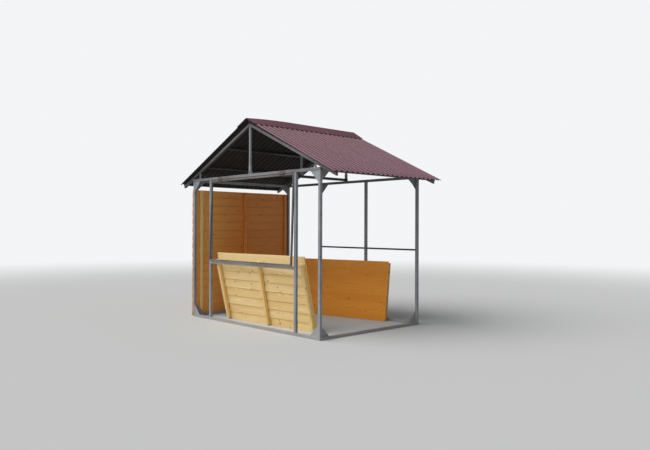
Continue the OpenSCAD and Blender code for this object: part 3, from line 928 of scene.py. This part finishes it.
# Boarding
def lapped(build, place, length, height, lows, outward, seed, foot_out=False, stand=0.0188, thick=0.0168,
           ends=None):
    """Lapped boards with their lower edges at the heights in lows. outward is the direction in depth away
    from the battens. Each board's lower edge stands off the battens if foot_out, else its upper edge."""
    rnd = random.Random(seed)
    uneven = 0.0015
    for k, (low, following) in enumerate(zip(lows, lows[1:] + [height])):
        top = min(following + BOARD_LAP, height)
        share = (top - low) / (following - low + BOARD_LAP)
        foot, head = (stand, stand * (1 - share)) if foot_out else (0.0, stand * share)
        outline = [(outward * foot, low), (outward * (foot + thick), low),
                   (outward * (head + thick), top), (outward * head, top)]
        x0, x1 = rnd.uniform(0, uneven), length - rnd.uniform(0, uneven)
        plank(build, outline[::outward], x0, x1, place, seed * 100 + k, BOARD_PITH, bow=0.0004, ends=ends)


def panel_battens(build, place, width, length, outward, seed, side=None, askew=0.0):
    """Three upright battens on a loose panel, the middle one askew by some degrees."""
    for k in range(3):
        x = k * (width - BATTEN_W) / 2 + BATTEN_W / 2
        turn = Matrix.Rotation(math.radians(askew if k == 1 else 0.0), 4, "Y")
        foot = Matrix.Translation((x, outward * BATTEN_T / 2, BATTEN_FOOT))
        plank(build, rectangle(BATTEN_T, BATTEN_W), 0, length, place @ foot @ turn @ UPRIGHT, seed + k,
              BATTEN_PITH, steps=8, radius=0.0025, side=side)


def leaning(at, turn, lean):
    """A panel's place: moved to at, turned about the vertical and leaned about its foot."""
    return (Matrix.Translation(at) @ Matrix.Rotation(math.radians(turn), 4, "Z")
            @ Matrix.Rotation(math.radians(lean), 4, "X"))


def make_counter_panel():
    """The raw panel that leans on the counter rail, with its battens in front."""
    place = leaning(COUNTER_AT, COUNTER_TURN, COUNTER_LEAN)
    build = Build()
    lapped(build, place, COUNTER_W, COUNTER_H, COUNTER_COURSES, 1, 11, stand=0.0135, thick=0.0190, ends=1)
    build.make("counter_panel_boards", [RAW, SAWN_AND_PAINTED_LIGHT], "counter_panel")
    build = Build()
    # painted light: the battens' side faces take the bright end colour
    panel_battens(build, place, COUNTER_W, COUNTER_BATTEN, -1, 40, side=1, askew=COUNTER_ASKEW)
    build.make("counter_panel_batten_set", [RAW, SAWN_AND_PAINTED_LIGHT], "counter_panel_battens")


def make_back_panel():
    """The stained panel that stands askew at the back, with its battens behind."""
    place = leaning(PANEL_AT, PANEL_TURN, PANEL_LEAN) @ Matrix.Translation((-PANEL_W, PANEL_SET, 0))
    build = Build()
    lapped(build, place, PANEL_W, PANEL_H, PANEL_COURSES, -1, 23, ends=1)
    build.make("back_panel_boards", [STAIN_OUT, SAWN_AND_PAINTED_LIGHT], "back_panel")
    build = Build()
    panel_battens(build, place, PANEL_W, PANEL_BATTEN, 1, 50)
    build.make("back_panel_batten_set", [STAIN_OUT], "back_panel_battens")


def make_left_wall():
    """The boarded side wall. The boards' local X runs from front to back, their local Y outwards."""
    place = Matrix(((0, -1, 0, LEFT), (1, 0, 0, FRONT), (0, 0, 1, 0), (0, 0, 0, 1)))
    build = Build()
    lapped(build, place, BACK - FRONT, WALL_TOP, WALL_COURSES, 1, 31, True, stand=0.0160, thick=0.0150)
    build.make("left_wall_boards", [STAIN_WALL], "left_wall")


def make_left_wall_battens():
    """Three battens on the wall's inner face, the front one in a paler colour as painted light."""
    front = edge("left_wall_battens", LOW, Y)
    back = edge("left_wall_battens", HIGH, Y) - BATTEN_W
    stood = Matrix(((0, 1, 0, 0), (0, 0, -1, 0), (1, 0, 0, 0), (0, 0, 0, 1)))
    build = Build()
    for k, y in enumerate((front, (front + back) / 2, back)):
        place = Matrix.Translation((LEFT + WALL_BATTEN_T / 2, y + BATTEN_W / 2, TUBE)) @ stood
        plank(build, rectangle(WALL_BATTEN_T, BATTEN_W), 0, WALL_TOP - TUBE, place, 60 + k, BATTEN_PITH,
              mat=min(k, 1), steps=12, bow=0.0005, radius=0.002)
    build.make("left_wall_batten_set", [BATTEN_PAINTED_LIGHT, STAIN_WALL], "left_wall_battens")


# Welds
WELD_SEEDS = itertools.count(101)


def weld(build, start, end, radius=WELD_R):
    """A run of weld metal: a rippled, uneven round bead."""
    start, end = Vector(start), Vector(end)
    axis = (end - start).normalized()
    side = axis.orthogonal().normalized()
    up = axis.cross(side)
    length = (end - start).length
    steps, sides = max(4, int(length / (RIPPLE / 2.5))), 6
    rnd = random.Random(next(WELD_SEEDS))
    phase = rnd.uniform(0, TURN)
    points = []
    for i in range(steps + 1):
        s = i / steps * length
        taper = min(1.0, 0.35 + 1.3 * math.sqrt(max(0.0, min(s, length - s)) / radius / 2))
        swell = 1 + 0.13 * math.sin(2 * math.pi * s / RIPPLE + phase) + 0.12 * rnd.uniform(-1, 1)
        wander = side * rnd.uniform(-0.1, 0.1) * radius + up * rnd.uniform(-0.1, 0.1) * radius
        points += circle(start + axis * s + wander, side, up, radius * taper * swell, sides)
    build.add(points, loft(sides, steps + 1), 0, True)


def weld_y(build, x, y, z, trim=WELD_TRIM, radius=WELD_R):
    """A weld across a tube whose near edge is at y, a little short of both edges."""
    weld(build, (x, y + trim, z), (x, y + TUBE - trim, z), radius)


def weld_z(build, x, y, z, radius=WELD_R):
    """A weld up a tube whose lower edge is at z, a little short of both edges."""
    weld(build, (x, y, z + WELD_TRIM), (x, y, z + TUBE - WELD_TRIM), radius)


def weld_uprights(build):
    """Welds round the feet and heads of the posts and studs, ground flat on the outer faces."""
    front, back = (FRONT, FRONT + TUBE), (BACK - TUBE, BACK)
    uprights = [(LEFT, LEFT + TUBE, (front, back)), (RIGHT - TUBE, RIGHT, (front, back))]
    for node in ("stud_front_left", "stud_front_right"):
        uprights.append((edge(node, LOW, X), edge(node, HIGH, X), (front,)))
    door_stud, second_stud = edge("studs_back", LOW, X), edge("studs_back", HIGH, X)
    uprights += [(door_stud, door_stud + TUBE, (back,)), (second_stud - TUBE, second_stud, (back,))]
    for x0, x1, planes in uprights:
        for y0, y1 in planes:
            for z in (TUBE, HEADER_TOP - TUBE):
                for x in (x0, x1):
                    if x not in (LEFT, RIGHT):
                        weld_y(build, x, y0, z)
                for y in (y0, y1):
                    radius = FLAT_WELD_R if y in (FRONT, BACK) else WELD_R
                    weld(build, (x0 + WELD_TRIM, y, z), (x1 - WELD_TRIM, y, z), radius)


def weld_counter_rail(build):
    for end in (LOW, HIGH):
        x = edge("counter_rail", end, X)
        for z in (COUNTER_TOP - TUBE, COUNTER_TOP):
            weld_y(build, x, FRONT, z)
        weld_z(build, x, FRONT, COUNTER_TOP - TUBE, FLAT_WELD_R)
        weld_z(build, x, FRONT + TUBE, COUNTER_TOP - TUBE)


def weld_side_rails(build):
    for y in (FRONT + TUBE, BACK - TUBE):
        for x in (LEFT + TUBE, RIGHT - TUBE):
            for z in (0, HEADER_TOP - TUBE):
                weld_z(build, x, y, z)


def weld_middle_beam(build):
    for y in GABLE_Y:
        for x in (-TUBE / 2, TUBE / 2):
            weld_y(build, x, y, HEADER_TOP, trim=0.005, radius=0.0024)


def weld_king_posts(build):
    for y in KING_Y:
        gable = y in GABLE_Y
        top = rafter_under(KING_POST / 2) if gable else RIDGE_Z
        for x in (-KING_POST / 2, KING_POST / 2):
            weld_y(build, x, y, top, trim=0.005)
        for apex_y in (y, y + TUBE) if gable else ():
            weld(build, (0, apex_y, APEX_UNDER + 0.004), (0, apex_y, APEX_UNDER + 0.040), 0.0012)
        for x in (-0.0165, 0.0165):
            weld_y(build, x, y, HEADER_TOP + TUBE, trim=0.006, radius=0.0018)


def weld_purlins(build):
    """Welds at both edges of each purlin, on the rafters."""
    for side in SIDES:
        for y in GABLE_Y:
            for purlin_x in PURLIN_AT:
                for way in (0, PURLIN_W):
                    x = purlin_x + way * COS - purlin_height(purlin_x / COS) * SIN
                    z = rafter_under(x) + RAFTER_RISE
                    weld_y(build, side * x, y, z, trim=0.006, radius=0.0018)


def weld_props(build):
    left, right = edge("rafter_props", LOW, X), edge("rafter_props", HIGH, X)
    for y in GABLE_Y:
        for x in (left, left + PROP, right - PROP, right):
            for z in (HEADER_TOP, rafter_under(x)):
                weld_y(build, x, y, z, trim=0.012, radius=0.0016)


def make_welds():
    build = Build()
    weld_uprights(build)
    weld_counter_rail(build)
    weld_side_rails(build)
    weld_middle_beam(build)
    build.make("frame_welds", [WELD])
    build = Build()
    weld_king_posts(build)
    weld_purlins(build)
    weld_props(build)
    build.make("roof_welds", [WELD])


# Floor, light and camera
def make_floor():
    """A pale floor that fades into the horizon far away."""
    paint = Paint("floor")
    camera_ray = paint.node("LightPath").outputs["Is Camera Ray"]
    matt = paint.fill(paint.node("BsdfDiffuse"), paint.mix(camera_ray, FLOOR_LIT, FLOOR_SEEN))
    glow = paint.fill(paint.node("Emission"), HORIZON)
    far = paint.span(paint.vmath("LENGTH", paint.coords()), FADE_START, FADE_END)
    hazy = paint.times(far, camera_ray)
    paint.put(paint.out, paint.fill(paint.node("MixShader"), hazy, matt, glow))
    mesh = bpy.data.meshes.new("floor")
    corners = [(x, y, 0) for x, y in rectangle(FLOOR_SIDE, FLOOR_SIDE)]
    mesh.from_pydata(corners, [], [(0, 1, 2, 3)])
    mesh.materials.append(paint.material)
    add_object("floor", mesh)


def make_world():
    """A pale studio whose light is stronger in front of the hut than behind it."""
    world = bpy.data.worlds.new("studio")
    bpy.context.scene.world = world
    world.use_nodes = True
    graph = Graph(world.node_tree)
    depth = graph.split(graph.node("TexCoord").outputs["Generated"])[Y]
    strength = graph.fill(graph.node("MapRange"), depth, -1.0, 1.0, SKY_FRONT, SKY_BACK)
    lit = graph.fill(graph.node("Background"), SKY, strength)
    seen = graph.fill(graph.node("Background"), HORIZON, 1.0)
    camera_ray = graph.node("LightPath").outputs["Is Camera Ray"]
    mixed = graph.fill(graph.node("MixShader"), camera_ray, lit, seen)
    graph.put(graph.node("OutputWorld").inputs[0], mixed)


def make_sun():
    """A broad soft light from the front left, above."""
    data = bpy.data.lights.new("key", "SUN")
    data.energy, data.angle, data.color = SUN_STRENGTH, math.radians(SUN_SPREAD), SUN_COLOUR
    sun = add_object("key", data)
    sun.rotation_euler = Vector(SUN_AHEAD).to_track_quat("-Z", "Y").to_euler()


def make_camera():
    """The camera, turned left of straight back by its yaw, then tilted up and rolled."""
    data = bpy.data.cameras.new("camera")
    data.sensor_width = SENSOR
    data.lens = FOCAL_PIXELS * SENSOR / PICTURE_PIXELS
    data.clip_start, data.clip_end = 0.05, 200
    yaw, tilt, roll = (math.radians(a) for a in (CAMERA_YAW, CAMERA_TILT, CAMERA_ROLL))
    ahead = Vector((-math.sin(yaw) * math.cos(tilt), math.cos(yaw) * math.cos(tilt), math.sin(tilt)))
    level = Vector((math.cos(yaw), math.sin(yaw), 0))
    upward = level.cross(ahead)
    right = level * math.cos(roll) + upward * math.sin(roll)
    upright = upward * math.cos(roll) - level * math.sin(roll)
    camera = add_object("camera", data)
    camera.rotation_euler = Matrix((right, upright, -ahead)).transposed().to_euler()
    camera.location = CAMERA_AT
    bpy.context.scene.camera = camera
    bpy.context.scene.view_settings.view_transform = "Standard"


finish_steel_nodes()
# painted shade: the middle and ridge beams are dark under the roof; the middle beam's front end keeps the
# frame's grey
make_beam("middle_beam", HEADER_TOP, [DARK, GREY], BEAM_WALL, BEAM_GREY_END)
make_beam("ridge_beam", RIDGE_Z, [DARK])
for side, word in SIDES.items():
    make_rafters(side, word)
    make_purlins(side, word)
    make_roof_skin(side, word)
make_ridge_cap()
make_roof_screws()
make_king_post_bolts()
make_counter_panel()
make_back_panel()
make_left_wall()
make_left_wall_battens()
make_welds()
make_floor()
make_world()
make_sun()
make_camera()
